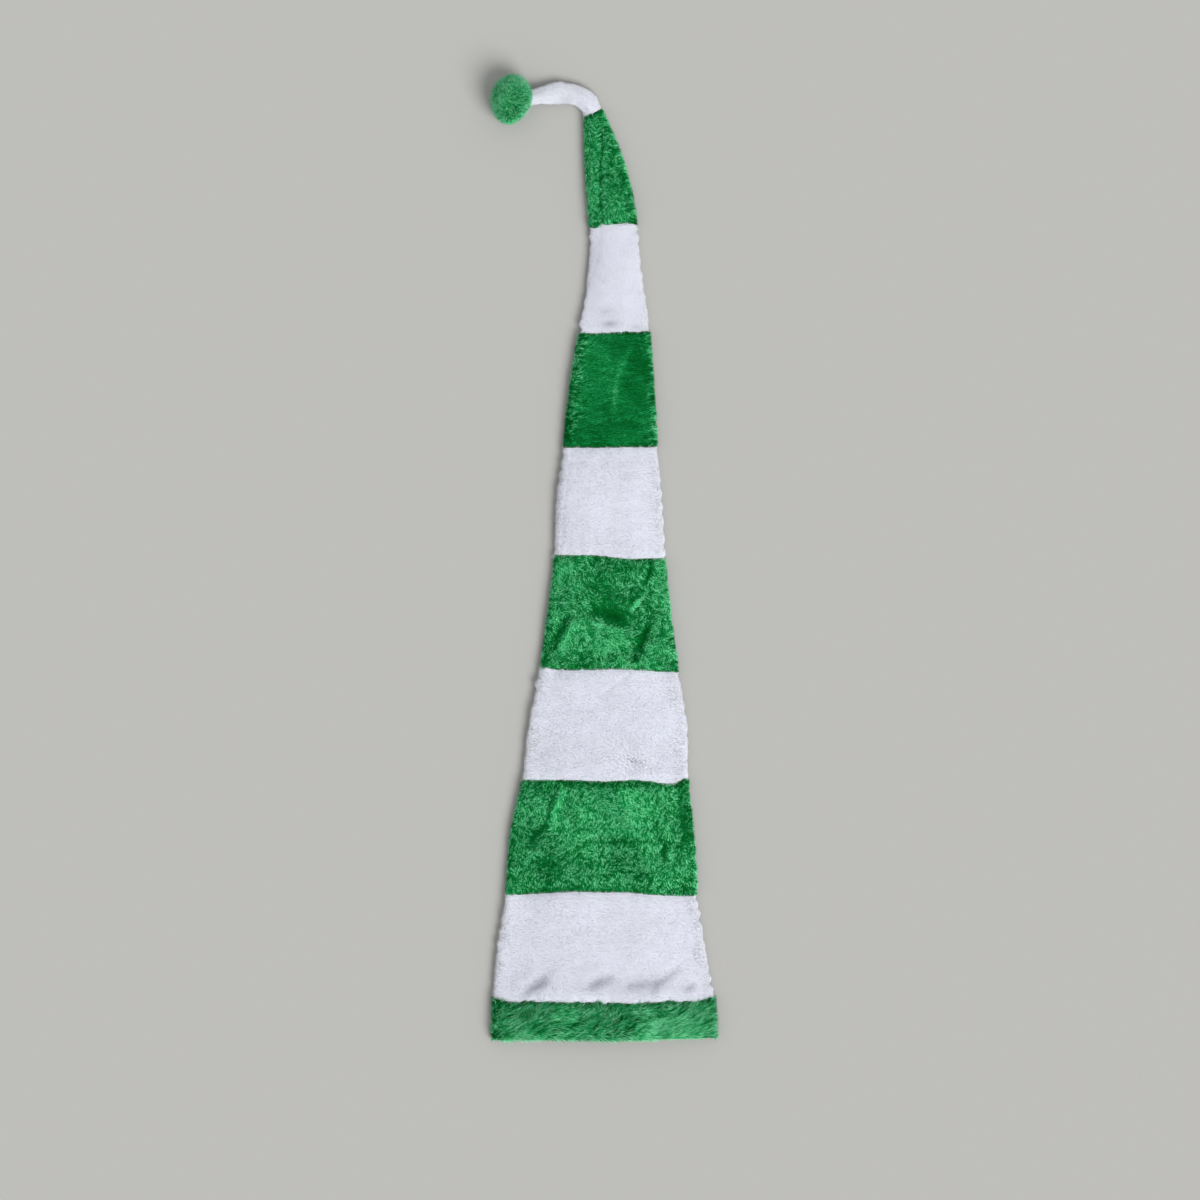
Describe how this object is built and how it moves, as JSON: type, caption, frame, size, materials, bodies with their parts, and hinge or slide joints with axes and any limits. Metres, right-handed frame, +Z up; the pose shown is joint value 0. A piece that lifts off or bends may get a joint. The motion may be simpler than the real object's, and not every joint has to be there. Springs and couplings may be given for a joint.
{
  "type": "long striped plush santa hat",
  "caption": "Very long, tapering plush santa hat with green and white stripes, a green cuff, a bent white tail and a green pompom, lying flat.",
  "frame": {"origin": "middle of the lying hat's outline, on the surface that it lies on", "axes": "+X across the hat to the right with the rim nearest, +Y from the rim to the tip, +Z up from the surface"},
  "size_m": [0.2854, 1.2172, 0.0465],
  "materials": {
    "green_plush": "short-pile polyester plush, mid green, napped and matte",
    "white_plush": "short-pile polyester plush, cool white, napped and matte"
  },
  "bodies": {
    "root": {"cuff": "green_plush", "band_1_white": "white_plush", "band_2_green": "green_plush", "band_3_white": "white_plush", "band_4_green": "green_plush", "band_5_white": "white_plush", "band_6_green": "green_plush", "band_7_white": "white_plush", "band_8_green": "green_plush", "tail": "white_plush", "pompom": "green_plush"}
  },
  "joints": []
}
